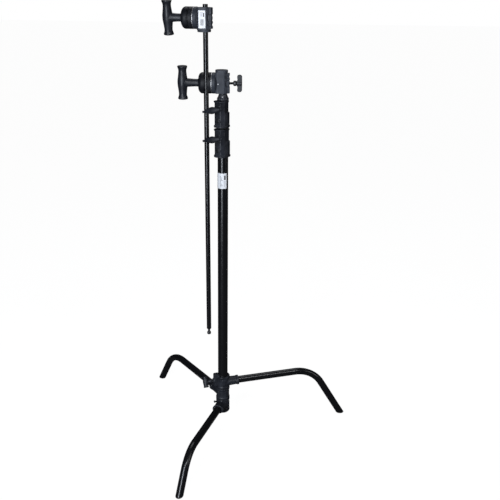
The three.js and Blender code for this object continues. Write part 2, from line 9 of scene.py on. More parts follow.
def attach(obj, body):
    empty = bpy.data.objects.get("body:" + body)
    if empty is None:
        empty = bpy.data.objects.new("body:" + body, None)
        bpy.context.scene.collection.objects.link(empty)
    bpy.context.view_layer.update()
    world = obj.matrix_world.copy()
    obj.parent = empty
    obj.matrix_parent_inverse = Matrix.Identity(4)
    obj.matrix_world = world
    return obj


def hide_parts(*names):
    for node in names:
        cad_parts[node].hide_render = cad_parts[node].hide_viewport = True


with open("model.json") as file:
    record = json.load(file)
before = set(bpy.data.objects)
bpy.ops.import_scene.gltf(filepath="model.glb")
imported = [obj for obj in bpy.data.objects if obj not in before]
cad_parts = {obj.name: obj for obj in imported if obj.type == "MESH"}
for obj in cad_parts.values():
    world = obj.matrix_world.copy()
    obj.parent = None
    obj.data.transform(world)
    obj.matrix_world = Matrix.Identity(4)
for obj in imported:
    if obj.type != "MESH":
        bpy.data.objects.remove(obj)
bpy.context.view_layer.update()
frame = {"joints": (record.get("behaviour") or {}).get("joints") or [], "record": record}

MM = 0.001
JOINTS = {joint["name"]: joint for joint in frame["joints"]}
BODIES = frame["record"]["behaviour"]["bodies"]
BODY_OF_NODE = {node: body for body, nodes in BODIES.items() for node in nodes}
SLOT_OF_NODE = {row["node"]: row["material_slot"] for row in frame["record"]["subparts"]}

# ---- driving dimensions, as in the frame's source, in millimetres ----
GAP = 0.3
COLUMN_R, MIDDLE_R, TOP_R, ROD_R = 17.5, 15.0, 12.5, 7.95
TUBE_WALL = 1.8
LEG_R = 12.7
LEG_RISE = 0.058
LEG_BEND_R = 112.0
LEG_PIN_X = 45.0
LEG_INNER_END = 23.0
FOOT_THICKNESS = 4.0
LEGS = {
    "right": dict(azimuth=11.5, height=178.4, foot_radius=459.0, drop=59.0),
    "left": dict(azimuth=128.3, height=133.7, foot_radius=430.0, drop=58.5),
    "front": dict(azimuth=-106.4, height=90.5, foot_radius=437.4, drop=53.0),
}
CASTINGS = {
    "right": ("top_leg_casting", 160, 207),
    "left": ("middle_leg_casting", 115, 158),
    "front": ("bottom_leg_casting", 68, 113),
}
HUB_R = 25.0
SLEEVE_R, SLEEVE_TOP = 19.5, 208.5
SOCKET_END = 58.0
CAP_BOTTOM = 56.0
BASE_CLAMP = dict(azimuth=200.0, z=188.0, bar=66.0, ear_top=215.0, ear_reach=38.0)
PLUNGER = dict(azimuth=196.0, z=98.0)
CASTING_SCREW = dict(azimuth=-62.0, z=76.0, radius=24.9)
CLAMP_AZIMUTH = -120.0
CLAMPS = {
    "lower": dict(bottom=1021.5, height=91.5, tube=COLUMN_R, riser=MIDDLE_R, body=20.4, skirt=23.6,
                  step=42.0, bolt=22.0, screw=64.5),
    "upper": dict(bottom=1118.5, height=84.5, tube=MIDDLE_R, riser=TOP_R, body=18.3, skirt=21.8,
                  step=39.5, bolt=21.0, screw=60.5),
}
PAD_REACH, PAD_HALF, CLAMP_LIP = 31.0, 10.0, 2.0
WING_REACH, WING_HALF, WING_R, WING_FLATTEN, WING_TILT = 65.0, 37.0, 11.5, 0.6, 12.5
COLLAR_BOTTOM, COLLAR_R = 1204.3, 19.0
DOWEL_AZIMUTH, DOWEL_RISE = -94, 11
HEAD_Z, PIN_TOP = 1257.0, 1296.0
DISC_R, BLOCK_FROM, FLANGE_FROM, FLANGE_TO = 33.0, -31.5, 34.5, 41.5
HUB_END, WASHER_END, PLATE, PLATE_END, OUTER_THICKNESS = 34.3, 36.0, 36.4, 48.8, 23.2
GRIP_GAP = 5.0
HEADS = {
    "lower": dict(gap=GRIP_GAP, bar=128.5, turn=4.0),
    "upper": dict(gap=1.0, bar=119.5, turn=10.0),
}
BAR_HALF, BAR_BELLY, BAR_WAIST, BAR_END = 52.3, 16.4, 12.6, 16.0
ARM_OFFSET = 22.0
ARM_TOP, ARM_HEAD_Z, ARM_TIP = 1495.3, 1454.8, 382.8
ARM_LEAN = 0.004538
LABEL_AZIMUTH, LABEL_HALF_ANGLE = -107.5, 62.0
LABEL_BOTTOM, LABEL_TOP = 915.0, 967.0

# ---- floor and camera, with the camera's place in metres ----
FLOOR_GLOW = 0.975
CAMERA_PLACE = (0.000970, -2.325651, 1.554251)
CAMERA_PITCH_DEG, CAMERA_ROLL_RAD = 19.96, 0.013724
SENSOR_MM, LENS_MM = 36.0, 52.74


# ---- materials ----
def node_setup(name):
    material = bpy.data.materials.new(name)
    material.use_nodes = True
    tree = material.node_tree
    shader = tree.nodes["Principled BSDF"]
    place = tree.nodes.new("ShaderNodeTexCoord").outputs["Object"]
    return material, tree, shader, place


def noise(tree, place, scale, detail=3.0, stretch=None):
    if stretch:
        mapping = tree.nodes.new("ShaderNodeMapping")
        mapping.inputs["Scale"].default_value = stretch
        tree.links.new(place, mapping.inputs["Vector"])
        place = mapping.outputs["Vector"]
    texture = tree.nodes.new("ShaderNodeTexNoise")
    texture.inputs["Scale"].default_value = scale
    texture.inputs["Detail"].default_value = detail
    tree.links.new(place, texture.inputs["Vector"])
    return texture.outputs["Fac"]


def remap(tree, value, low, high, out_low, out_high):
    node = tree.nodes.new("ShaderNodeMapRange")
    for key, number in zip(("From Min", "From Max", "To Min", "To Max"), (low, high, out_low, out_high)):
        node.inputs[key].default_value = number
    tree.links.new(value, node.inputs["Value"])
    return node.outputs["Result"]


def mixed(tree, factor, first, second):
    """Blends two colours, each a tuple or a socket."""
    node = tree.nodes.new("ShaderNodeMix")
    node.data_type = "RGBA"
    tree.links.new(factor, node.inputs["Factor"])
    for key, colour in (("A", first), ("B", second)):
        socket = next(s for s in node.inputs if s.name == key and s.type == "RGBA")
        if isinstance(colour, tuple):
            socket.default_value = (*colour, 1.0)
        else:
            tree.links.new(colour, socket)
    return next(s for s in node.outputs if s.type == "RGBA")


def times(tree, first, second):
    node = tree.nodes.new("ShaderNodeMath")
    node.operation = "MULTIPLY"
    tree.links.new(first, node.inputs[0])
    tree.links.new(second, node.inputs[1])
    return node.outputs["Value"]


def bump(tree, height, distance, strength=1.0, below=None):
    node = tree.nodes.new("ShaderNodeBump")
    node.inputs["Distance"].default_value = distance
    node.inputs["Strength"].default_value = strength
    tree.links.new(height, node.inputs["Height"])
    if below:
        tree.links.new(below, node.inputs["Normal"])
    return node.outputs["Normal"]


def edge_mask(tree, start, end):
    """1 on convex edges of a dense mesh and 0 on flat faces."""
    pointiness = tree.nodes.new("ShaderNodeNewGeometry").outputs["Pointiness"]
    return remap(tree, pointiness, start, end, 0.0, 1.0)


def enamel(name, colour, rough, grain, depth, wear, dust, specular=0.4):
    """Paint with a fine grain, patchy sheen, faint dust and edges rubbed lighter."""
    material, tree, shader, place = node_setup(name)
    patches = noise(tree, place, 38.0, 4.0)
    fine = noise(tree, place, grain, 4.0)
    specks = remap(tree, noise(tree, place, grain * 0.37, 6.0), 0.6, 0.78, 0.0, 1.0)
    lighter = tuple(min(1.0, c * dust + 0.004) for c in colour)
    dusty = mixed(tree, remap(tree, patches, 0.42, 0.68, 0.0, 1.0), colour, lighter)
    speckled = mixed(tree, times(tree, specks, remap(tree, patches, 0.4, 0.6, 0.0, 0.4)), dusty,
                     tuple(c * dust * 1.6 for c in colour))
    chips = remap(tree, noise(tree, place, 210.0, 5.0), 0.42, 0.62, 0.0, wear)
    rubbed = times(tree, edge_mask(tree, 0.53, 0.6), chips)
    worn = mixed(tree, rubbed, speckled, (0.16, 0.165, 0.175))
    tree.links.new(worn, shader.inputs["Base Color"])
    streaks = noise(tree, place, 60.0, 5.0)
    tree.links.new(remap(tree, streaks, 0.3, 0.7, rough - 0.07, rough + 0.09), shader.inputs["Roughness"])
    shader.inputs["Specular IOR Level"].default_value = specular
    coarse = bump(tree, patches, depth * 1.5, 0.6)
    tree.links.new(bump(tree, fine, depth, 1.0, coarse), shader.inputs["Normal"])
    return material


def gloss_enamel(name, colour):
    """Glossy tube paint: orange peel, and fine scratches along the tube from sliding."""
    material, tree, shader, place = node_setup(name)
    peel = noise(tree, place, 300.0, 2.0)
    scratch = noise(tree, place, 1.0, 6.0, (2600.0, 2600.0, 14.0))
    lines = remap(tree, scratch, 0.6, 0.72, 0.0, 1.0)
    patches = remap(tree, noise(tree, place, 9.0, 5.0), 0.4, 0.65, 0.0, 0.5)
    scratched = mixed(tree, times(tree, lines, patches), colour, (0.014, 0.0145, 0.017))
    tree.links.new(scratched, shader.inputs["Base Color"])
    sheen = remap(tree, noise(tree, place, 30.0, 5.0), 0.3, 0.7, 0.2, 0.27)
    tree.links.new(sheen, shader.inputs["Roughness"])
    shader.inputs["Specular IOR Level"].default_value = 0.5
    tree.links.new(bump(tree, peel, 0.000005), shader.inputs["Normal"])
    return material


def metal(name, colour, rough, tarnish, depth=0.00004):
    """Turned metal with fine tool marks and uneven tarnish."""
    material, tree, shader, place = node_setup(name)
    cloudy = remap(tree, noise(tree, place, 140.0, 5.0), 0.4, 0.65, 0.0, 1.0)
    tarnished = mixed(tree, cloudy, colour, tuple(c * tarnish for c in colour))
    tree.links.new(tarnished, shader.inputs["Base Color"])
    shader.inputs["Metallic"].default_value = 1.0
    marks = noise(tree, place, 1900.0, 3.0)
    tree.links.new(remap(tree, marks, 0.3, 0.7, rough - 0.08, rough + 0.1), shader.inputs["Roughness"])
    tree.links.new(bump(tree, marks, depth), shader.inputs["Normal"])
    return material


def moulded(name, colour):
    """Matt moulded plastic with a fine spark-eroded grain."""
    material, tree, shader, place = node_setup(name)
    scuffs = remap(tree, noise(tree, place, 70.0, 6.0), 0.5, 0.7, 0.0, 1.0)
    scuffed = mixed(tree, scuffs, colour, tuple(c * 2.1 + 0.008 for c in colour))
    tree.links.new(scuffed, shader.inputs["Base Color"])
    tree.links.new(remap(tree, scuffs, 0.0, 1.0, 0.52, 0.74), shader.inputs["Roughness"])
    shader.inputs["Specular IOR Level"].default_value = 0.35
    tree.links.new(bump(tree, noise(tree, place, 2200.0, 3.0), 0.00008), shader.inputs["Normal"])
    return material


def label_paper(name, centre, across, along, size, bars):
    """White sticker with plain grey bars. Each bar is (from, to, left, right, grey), its
    place in shares of the sticker's size."""
    material, tree, shader, place = node_setup(name)

    def share(direction, length):
        offset = tree.nodes.new("ShaderNodeVectorMath")
        offset.operation = "SUBTRACT"
        tree.links.new(place, offset.inputs[0])
        offset.inputs[1].default_value = centre
        dot = tree.nodes.new("ShaderNodeVectorMath")
        dot.operation = "DOT_PRODUCT"
        tree.links.new(offset.outputs["Vector"], dot.inputs[0])
        dot.inputs[1].default_value = direction
        return remap(tree, dot.outputs["Value"], -length / 2, length / 2, 0.0, 1.0)

    def between(value, low, high):
        node = tree.nodes.new("ShaderNodeMath")
        node.operation = "COMPARE"
        tree.links.new(value, node.inputs[0])
        node.inputs[1].default_value = (low + high) / 2
        node.inputs[2].default_value = (high - low) / 2
        return node.outputs["Value"]

    side, up = share(across, size[0]), share(along, size[1])
    stains = remap(tree, noise(tree, place, 120.0, 4.0), 0.4, 0.7, 0.0, 1.0)
    surface = mixed(tree, stains, (0.86, 0.87, 0.9), (0.72, 0.73, 0.77))
    for low, high, left, right, grey in bars:
        inside = times(tree, between(up, low, high), between(side, left, right))
        surface = mixed(tree, inside, surface, (grey, grey, grey * 1.06))
    tree.links.new(surface, shader.inputs["Base Color"])
    shader.inputs["Roughness"].default_value = 0.42
    tree.links.new(bump(tree, noise(tree, place, 900.0, 2.0), 0.00003), shader.inputs["Normal"])
    return material


MATERIALS = {
    "tube_paint": gloss_enamel("tube_enamel", (0.0045, 0.0045, 0.0055)),
    "casting_paint": enamel("casting_enamel", (0.0125, 0.014, 0.019), 0.42, 900.0, 0.00016, 0.5, 1.7),
    "plate_paint": enamel("plate_enamel", (0.006, 0.0065, 0.009), 0.46, 900.0, 0.0001, 0.35, 1.5, 0.22),
    "head_paint": enamel("head_enamel", (0.026, 0.03, 0.04), 0.48, 1400.0, 0.00006, 0.35, 1.3, 0.3),
    "handle_paint": enamel("handle_enamel", (0.0095, 0.0105, 0.0145), 0.4, 1600.0, 0.00005, 0.3, 1.5),
    "black_plastic": moulded("black_plastic", (0.012, 0.012, 0.013)),
    "black_steel": metal("black_oxide_steel", (0.085, 0.086, 0.092), 0.4, 0.6),
    "bright_steel": metal("bare_steel", (0.66, 0.66, 0.67), 0.5, 0.85, 0.00002),
    "brass": metal("turned_brass", (0.55, 0.42, 0.18), 0.34, 0.7),
}


# ---- mesh helpers, in millimetres ----
def new_object(name, bm):
    bmesh.ops.recalc_face_normals(bm, faces=bm.faces)
    mesh = bpy.data.meshes.new(name)
    bm.to_mesh(mesh)
    bm.free()
    obj = bpy.data.objects.new(name, mesh)
    bpy.context.scene.collection.objects.link(obj)
    return obj


def bake_modifiers(obj):
    graph = bpy.context.evaluated_depsgraph_get()
    mesh = bpy.data.meshes.new_from_object(obj.evaluated_get(graph))
    obj.modifiers.clear()
    old, obj.data = obj.data, mesh
    bpy.data.meshes.remove(old)
    return obj


def discard(obj):
    mesh = obj.data
    bpy.data.objects.remove(obj)
    bpy.data.meshes.remove(mesh)


def moved(obj, matrix):
    obj.data.transform(matrix)
    return obj


def shift(x=0.0, y=0.0, z=0.0):
    return Matrix.Translation((x, y, z))


def spin(degrees, axis="Z"):
    return Matrix.Rotation(math.radians(degrees), 4, axis)


ALONG_X = spin(90, "Y")          # a piece made along +Z then points along +X
TO_HANDLE = spin(-90, "Y")       # or along -X
ALONG_Y = spin(-90, "X")


def rounded(points, radius, closed=False, steps=4):
    """Polyline with its corners cut round. A point's third value is its own corner radius."""
    result = []
    last = len(points) - 1
    for i, (x, y, *own) in enumerate(points):
        reach = own[0] if own else radius
        if reach == 0 or (not closed and i in (0, last)):
            result.append((x, y))
            continue
        here = Vector((x, y))
        back = Vector(points[i - 1][:2]) - here
        ahead = Vector(points[(i + 1) % len(points)][:2]) - here
        reach = min(reach, back.length * 0.46, ahead.length * 0.46)
        start, end = here + back.normalized() * reach, here + ahead.normalized() * reach
        for k in range(steps + 1):
            t = k / steps
            result.append(tuple(start * (1 - t) ** 2 + here * 2 * t * (1 - t) + end * t * t))
    return result


def skin(bm, pairs):
    """Faces between pairs of vertex rows, each a ring or a single point."""
    for low, high in pairs:
        count = max(len(low), len(high))
        for i in range(count):
            j = (i + 1) % count
            corners = [low[i % len(low)], low[j % len(low)], high[j % len(high)], high[i % len(high)]]
            face = list(dict.fromkeys(corners))
            if len(face) > 2:
                bm.faces.new(face)


def turned(name, profile, radius=0.5, sides=72, ring=False, shape=None, steps=4):
    """Solid of revolution about Z. shape(angle, r, z) may vary the radius round it."""
    bm = bmesh.new()
    rows = []
    for r, z in rounded(profile, radius, ring, steps):
        if r < 1e-6:
            rows.append([bm.verts.new((0, 0, z))])
            continue
        angles = [2 * math.pi * i / sides for i in range(sides)]
        radii = [shape(a, r, z) if shape else r for a in angles]
        rows.append([bm.verts.new((q * math.cos(a), q * math.sin(a), z)) for a, q in zip(angles, radii)])
    skin(bm, list(zip(rows, rows[1:])) + ([(rows[-1], rows[0])] if ring else []))
    return new_object(name, bm)


def rod(name, radius, low, high, edge=0.4, sides=72):
    return turned(name, [(0, low), (radius, low), (radius, high), (0, high)], edge, sides)


def pipe(name, outer, inner, low, high, edge=0.4, sides=72):
    return turned(name, [(inner, low), (outer, low), (outer, high), (inner, high)], edge, sides, ring=True)


def threaded(name, radius, low, high, pitch=1.75, sides=48):
    """Rod with a helical thread, chamfered at both ends."""
    depth = 0.55 * pitch
    rows_per_turn = 8
    count = round((high - low) / pitch * rows_per_turn)
    profile = [(0, low)]
    profile += [(radius, low + (high - low) * k / count) for k in range(count + 1)]
    profile += [(0, high)]

    def thread(angle, r, z):
        phase = (z / pitch - angle / (2 * math.pi)) % 1.0
        groove = depth * abs(2 * phase - 1)
        fade = min(1.0, (z - low) / pitch, (high - z) / pitch)
        return r - groove * 0.9 - depth * 0.5 * (1 - max(0.0, fade))

    return turned(name, profile, 0, sides, shape=thread)


def prism(name, outline, low, high, corner=1.0, edge=0.8):
    """Extruded outline with rounded corners and rounded top and bottom edges."""
    bm = bmesh.new()
    points = rounded(outline, corner, True, 4)
    floor = [bm.verts.new((x, y, low)) for x, y in points]
    roof = [bm.verts.new((x, y, high)) for x, y in points]
    bm.faces.new(floor[::-1])
    bm.faces.new(roof)
    for i in range(len(points)):
        j = (i + 1) % len(points)
        bm.faces.new((floor[i], floor[j], roof[j], roof[i]))
    if edge:
        rims = [e for e in bm.edges if abs(e.verts[0].co.z - e.verts[1].co.z) < 1e-6]
        bmesh.ops.bevel(bm, geom=rims, offset=edge, segments=3, affect="EDGES", profile=0.5)
    return new_object(name, bm)


def block(name, x, y, z, corner=1.0, edge=0.8):
    outline = [(x[0], y[0]), (x[1], y[0]), (x[1], y[1]), (x[0], y[1])]
    return prism(name, outline, z[0], z[1], corner, edge)


def hexagon(across):
    reach = across / math.sqrt(3)
    angles = [math.radians(60 * k) for k in range(6)]
    return [(reach * math.cos(a), reach * math.sin(a)) for a in angles]


def joined(name, parts):
    bm = bmesh.new()
    for part in parts:
        bm.from_mesh(part.data)
        discard(part)
    mesh = bpy.data.meshes.new(name)
    bm.to_mesh(mesh)
    bm.free()
    obj = bpy.data.objects.new(name, mesh)
    bpy.context.scene.collection.objects.link(obj)
    return obj


def cast(name, parts, voxel=0.8, smooth=6):
    """One casting from overlapping parts, with the soft inside corners of a mould."""
    body = joined(name, parts)
    remesh = body.modifiers.new("Remesh", "REMESH")
    remesh.mode = "VOXEL"
    remesh.voxel_size = voxel
    soften = body.modifiers.new("Smooth", "SMOOTH")
    soften.factor = 0.5
    soften.iterations = smooth
    return bake_modifiers(body)


def carved(obj, *cutters):
    for cutter in cutters:
        cut = obj.modifiers.new("Cut", "BOOLEAN")
        cut.operation = "DIFFERENCE"
        cut.solver = "EXACT"
        cut.object = cutter
        bake_modifiers(obj)
        discard(cutter)
    return obj


def drill(radius, low, high, sides=64):
    return rod("cutter", radius, low, high, 0, sides)


def hex_recess(across, low, high):
    return prism("cutter", hexagon(across), low, high, 0, 0)


def install(obj, place, *nodes, body=None, slot=None, material=None):
    """Puts a piece in its place, on its body, standing for the CAD nodes named."""
    moved(obj, place @ Matrix.Scale(MM, 4))
    slot = slot or SLOT_OF_NODE[nodes[0]]
    for polygon in obj.data.polygons:
        polygon.use_smooth = True
    obj.data.set_sharp_from_angle(angle=math.radians(38))
    obj.modifiers.new("WeightedNormal", "WEIGHTED_NORMAL").keep_sharp = True
    obj.data.materials.clear()
    obj.data.materials.append(material or MATERIALS[slot])
    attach(obj, body or BODY_OF_NODE[nodes[0]])
    if nodes:
        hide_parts(*nodes)
    return obj


def axes(origin, x_axis, z_axis):
    x, z = Vector(x_axis).normalized(), Vector(z_axis).normalized()
    place = Matrix((x, z.cross(x), z)).transposed().to_4x4()
    place.translation = Vector(origin)
    return place


# ---- frames of the sub-assemblies, in metres ----
swing = JOINTS["left_leg_swing"]["pos_m"]
COLUMN = Matrix.Translation((swing[0], swing[1], 0.0))
jaw = JOINTS["lower_jaw_swivel"]
LOWER_HEAD = axes(jaw["pos_m"], [-a for a in jaw["axis"]], (0, 0, 1))
arm_axis = Vector(JOINTS["arm_slide"]["axis"])
jaw = JOINTS["upper_jaw_swivel"]
UPPER_HEAD = axes(jaw["pos_m"], [-a for a in jaw["axis"]], -arm_axis)
ARM = axes(jaw["pos_m"], (1, 0, ARM_LEAN), arm_axis)


def at(z=0.0, azimuth=0.0):
    """Frame on the column's axis at a height in millimetres, with +X at an azimuth."""
    return COLUMN @ shift(z=z * MM) @ spin(azimuth)


# ---- base ----
def leg_points(spec):
    """Centreline of a leg in its own X-Z plane, from its socket to below the floor."""
    steep = math.tan(math.radians(spec["drop"]))
    corner_x = (spec["foot_radius"] * steep - spec["height"]) / (steep + LEG_RISE)
    corner = Vector((corner_x, 0, spec["height"] + LEG_RISE * corner_x))
    inward = Vector((1, 0, LEG_RISE)).normalized()
    down = Vector((1 / math.hypot(1, steep), 0, -steep / math.hypot(1, steep)))
    sweep = inward.angle(down)
    tangent = LEG_BEND_R * math.tan(sweep / 2)
    start = corner - inward * tangent
    centre = start + Vector((inward.z, 0, -inward.x)) * LEG_BEND_R
    first = math.pi / 2 + math.atan(LEG_RISE)
    steps = 36
    points = [Vector((LEG_INNER_END, 0, spec["height"] + LEG_RISE * LEG_INNER_END))]
    for k in range(steps + 1):
        angle = first - sweep * k / steps
        points.append(centre + Vector((math.cos(angle), 0, math.sin(angle))) * LEG_BEND_R)
    foot = Vector((spec["foot_radius"], 0, 0))
    points.append(foot + down * 20)
    return points


def leg_tube(name, spec):
    """Bent tube, cut level above its plug. The bend is a little flattened, as bent tube is."""
    points = leg_points(spec)
    sides = 56
    bm = bmesh.new()
    rings = []
    for i, point in enumerate(points):
        ahead = points[min(i + 1, len(points) - 1)] - points[max(i - 1, 0)]
        if i == 0:
            ahead = points[1] - points[0]
        along = ahead.normalized()
        up = Vector((-along.z, 0, along.x))
        share = min(max((i - 1) / (len(points) - 3), 0.0), 1.0)
        squeeze = 0.5 * math.sin(math.pi * share) ** 2
        ring = []
        for k in range(sides):
            a = 2 * math.pi * k / sides
            side, rise = LEG_R * math.cos(a), (LEG_R - squeeze) * math.sin(a)
            ring.append(bm.verts.new(point + Vector((0, side, 0)) + up * rise))
        rings.append(ring)
    skin(bm, zip(rings, rings[1:]))
    bm.faces.new(rings[0][::-1])
    bm.faces.new(rings[-1])
    level = Vector((0, 0, FOOT_THICKNESS))
    geometry = bm.verts[:] + bm.edges[:] + bm.faces[:]
    cut = bmesh.ops.bisect_plane(
        bm, geom=geometry, plane_co=level, plane_no=(0, 0, 1), clear_inner=True)
    edges = [e for e in cut["geom_cut"] if isinstance(e, bmesh.types.BMEdge)]
    bmesh.ops.holes_fill(bm, edges=edges)
    return new_object(name, bm)


def leg_foot(name, spec):
    """Moulded plug under the tube's slanted end, with a small lip and grip rings in its sole."""
    slope = math.tan(math.radians(spec["drop"]))
    stretch = 1 / math.sin(math.radians(spec["drop"]))
    top = FOOT_THICKNESS - GAP
    levels = [(0.0, 0.0), (0.0, 0.55), (0.35, 0.55), (0.35, 0.62), (0.0, 0.62), (0.0, 0.94),
              (0.25, 0.975), (0.8, 1.0), (1.6, 1.01), (2.2, 1.005), (2.7, 0.985), (3.0, 0.985),
              (top, 0.97), (top, 0.0)]
    sides = 64
    bm = bmesh.new()
    rows = []
    for z, size in levels:
        middle = spec["foot_radius"] - z / slope
        if size == 0.0:
            rows.append([bm.verts.new((middle, 0, z))])
            continue
        ring = []
        for k in range(sides):
            a = 2 * math.pi * k / sides
            x = middle + LEG_R * stretch * size * math.cos(a)
            ring.append(bm.verts.new((x, LEG_R * size * math.sin(a), z)))
        rows.append(ring)
    skin(bm, zip(rows, rows[1:]))
    return new_object(name, bm)


def leg_casting(side, spec):
    """Hub ring with a raised rim at top and bottom, and the leg's tapered socket."""
    name, bottom, top = CASTINGS[side]
    rise = spin(-math.degrees(math.atan(LEG_RISE)), "Y")
    on_leg = shift(z=spec["height"]) @ rise @ ALONG_X
    ring = turned("ring", [(0, bottom), (HUB_R, bottom), (HUB_R, bottom + 5), (23.4, bottom + 7.5),
                           (23.4, top - 8), (HUB_R, top - 5.5), (HUB_R, top), (0, top)], 1.0)
    taper = [(0, 8), (18.6, 8), (17.0, 49), (18.8, 50.5), (18.8, SOCKET_END), (0, SOCKET_END)]
    socket = moved(turned("socket", taper, 1.0), Matrix.Diagonal((0.87, 1.1, 1, 1)))
    parts = [ring, moved(socket, on_leg)]
    if side == "right":
        turn = spin(BASE_CLAMP["azimuth"] - spec["azimuth"])
        reach, span = BASE_CLAMP["ear_reach"], (bottom + 9, BASE_CLAMP["ear_top"])
        ear = block("ear", (12, reach - 3), (-10, 10), span, 4, 2)
        boss = moved(rod("boss", 10.5, 20, reach, 1.2), shift(z=BASE_CLAMP["z"]) @ ALONG_X)
        parts += [moved(ear, turn), moved(boss, turn)]
        parts.append(rod("collar", HUB_R - 1.2, top - 6, top, 1.0))
    for turn in (90, 180, 270):
        z_middle = (bottom + top) / 2
        pad = block("pad", (20, 24.4), (-6.5, 6.5), (z_middle - 11, z_middle + 11), 2, 1)
        parts.append(moved(pad, spin(turn)))
    casting = cast(name + "_detail", parts, 0.85, 5)
    cutters = [
        moved(drill(LEG_R + GAP, LEG_INNER_END - GAP, 80), on_leg),
        drill(SLEEVE_R + GAP, bottom - 2, 220, 96),
        moved(drill(3, -30, 30, 32), shift(LEG_PIN_X, 0, pin_height(spec)) @ ALONG_Y),
    ]
    if side == "right":
        cutters.append(moved(drill(4.4, 15, 45, 40), turn_to(BASE_CLAMP, spec)))
    if side == "front":
        cutters.append(moved(drill(2.4, 20.5, 40, 32), turn_to(PLUNGER, spec)))
    return carved(casting, *cutters)


def turn_to(part, leg):
    """Places a cutter made along +Z at a part's azimuth and height, in a leg's frame."""
    return spin(part["azimuth"] - leg["azimuth"]) @ shift(z=part["z"]) @ ALONG_X


def pin_height(leg):
    return leg["height"] + LEG_RISE * LEG_PIN_X


def spring_pin(name):
    """Slotted spring pin through the socket and the leg."""
    pin = pipe(name, 2.6, 1.5, -19.8, 19.8, 0.4, 32)
    return carved(pin, moved(block("cutter", (0, 5), (-0.5, 0.5), (-30, 30), 0, 0), spin(60)))


def base():
    for side, spec in LEGS.items():
        place = at(azimuth=spec["azimuth"])
        install(leg_casting(side, spec), place, CASTINGS[side][0])
        install(leg_tube(side + "_leg_detail", spec), place, side + "_leg")
        install(leg_foot(side + "_leg_foot_detail", spec), place, side + "_leg_foot")
        pin = spring_pin(side + "_leg_pin_detail")
        pin_place = shift(LEG_PIN_X * MM, 0, pin_height(spec) * MM)
        install(pin, place @ pin_place @ ALONG_Y, side + "_leg_pin")
    sleeve = pipe("base_sleeve_detail", SLEEVE_R, COLUMN_R + GAP, CAP_BOTTOM + 12, SLEEVE_TOP, 0.5, 96)
    hole = moved(drill(4.4, 10, 30, 32), spin(BASE_CLAMP["azimuth"]) @ shift(z=BASE_CLAMP["z"]) @ ALONG_X)
    install(carved(sleeve, hole), at(), "base_sleeve")
    for name, side in (("upper_leg_washer", "left"), ("lower_leg_washer", "front")):
        low = CASTINGS[side][2]
        washer = pipe(name + "_detail", HUB_R - 2, SLEEVE_R + GAP, low + GAP, low + 2 - GAP, 0.3, 96)
        install(washer, at(), name)
    end_cap()
    plunger()
    base_clamp()


def end_cap():
    """Domed cap under the base, its bolt, and the screw in the bottom casting."""
    low, rim = CAP_BOTTOM, CAP_BOTTOM + 11.6
    profile = [(4.4, low + 1), (9.5, low + 1), (10.5, low), (14, low), (20, low + 1.5, 4),
               (23.5, low + 5, 3), (HUB_R, rim - 3.2), (HUB_R, rim), (SLEEVE_R - 3, rim),
               (SLEEVE_R - 3, rim + 6), (4.4, rim + 6)]
    install(turned("base_end_cap_detail", profile, 0.6, 96, ring=True), at(), "base_end_cap")
    head = prism("head", hexagon(13.8), low - 5, low - GAP, 0.5, 0.5)
    dome = turned("dome", [(0, low - 5.0), (5.6, low - 5.0), (6.6, low - 4.4), (0, low - 4.4)], 0.1)
    shank = threaded("shank", 4, low - 1, rim + 5, 1.25)
    install(joined("base_cap_bolt_detail", [head, dome, shank]), at(), "base_cap_bolt")
    screw = turned("bottom_casting_screw", [(0, 0), (3.6, 0), (3.4, 1.2), (2.4, 2.0), (0, 2.2)], 0.3, 40)
    slot_cut = block("cutter", (-5, 5), (-0.45, 0.45), (1.3, 4), 0, 0)
    carved(screw, slot_cut, block("cutter", (-0.45, 0.45), (-5, 5), (1.3, 4), 0, 0))
    place = at(CASTING_SCREW["z"], CASTING_SCREW["azimuth"])
    place = place @ shift(x=CASTING_SCREW["radius"] * MM) @ ALONG_X
    install(screw, place, body="front_leg_assembly", slot="black_steel")


def plunger():
    ball = [(4.2 * math.cos(math.radians(a)), 30.5 + 4.2 * math.sin(math.radians(a)), 0.1)
            for a in range(-50, 90, 10)]
    profile = [(0, 22), (2, 22)] + ball + [(0, 34.7)]
    knob = turned("leg_lock_plunger_detail", profile, 0.2, 48, steps=2)
    install(knob, at(PLUNGER["z"], PLUNGER["azimuth"]) @ ALONG_X, "leg_lock_plunger")


def t_bar(name, half, belly, waist, end, sides=72):
    """Waisted grip bar with flared rims and dished ends, along Z."""
    rim = half * 0.92
    upper = [(end * 0.55, half - 1.2), (end * 0.62, half, 0.3), (end - 0.8, half), (end, half - 1.6, 0.8),
             (end - 0.4, rim, 1.0), (waist + 0.5, half * 0.8, 3), (waist, half * 0.68, 4),
             (waist * 0.6 + belly * 0.4, half * 0.4, 6),
             (belly * 0.97 + waist * 0.03, half * 0.14, 6), (belly, 0, 6)]
    lower = [(r, -z, *own) for r, z, *own in upper[-2::-1]]
    return turned(name, [(0, half - 1.2)] + upper + lower + [(0, -half + 1.2)], 0.6, sides)


def base_clamp():
    place = at(BASE_CLAMP["z"], BASE_CLAMP["azimuth"]) @ ALONG_X
    install(threaded("base_clamp_screw_detail", 4, COLUMN_R + 0.5, 50, 1.5), place, "base_clamp_screw")
    bar = moved(t_bar("bar", 20, 9.8, 8.6, 9.6, 56), spin(30, "X"))
    neck = turned("neck", [(0, 0), (6.6, 0), (6.6, 8), (5.2, 11), (5.2, 20), (0, 20)], 0.8)
    reach = BASE_CLAMP["bar"]
    parts = [moved(bar, shift(x=reach)), moved(neck, shift(x=reach - 22) @ ALONG_X)]
    handle = cast("base_clamp_handle_detail", parts, 0.5, 4)
    carved(handle, moved(drill(4.4, 30, 50.5, 40), ALONG_X))
    install(handle, at(BASE_CLAMP["z"], BASE_CLAMP["azimuth"]), "base_clamp_handle")


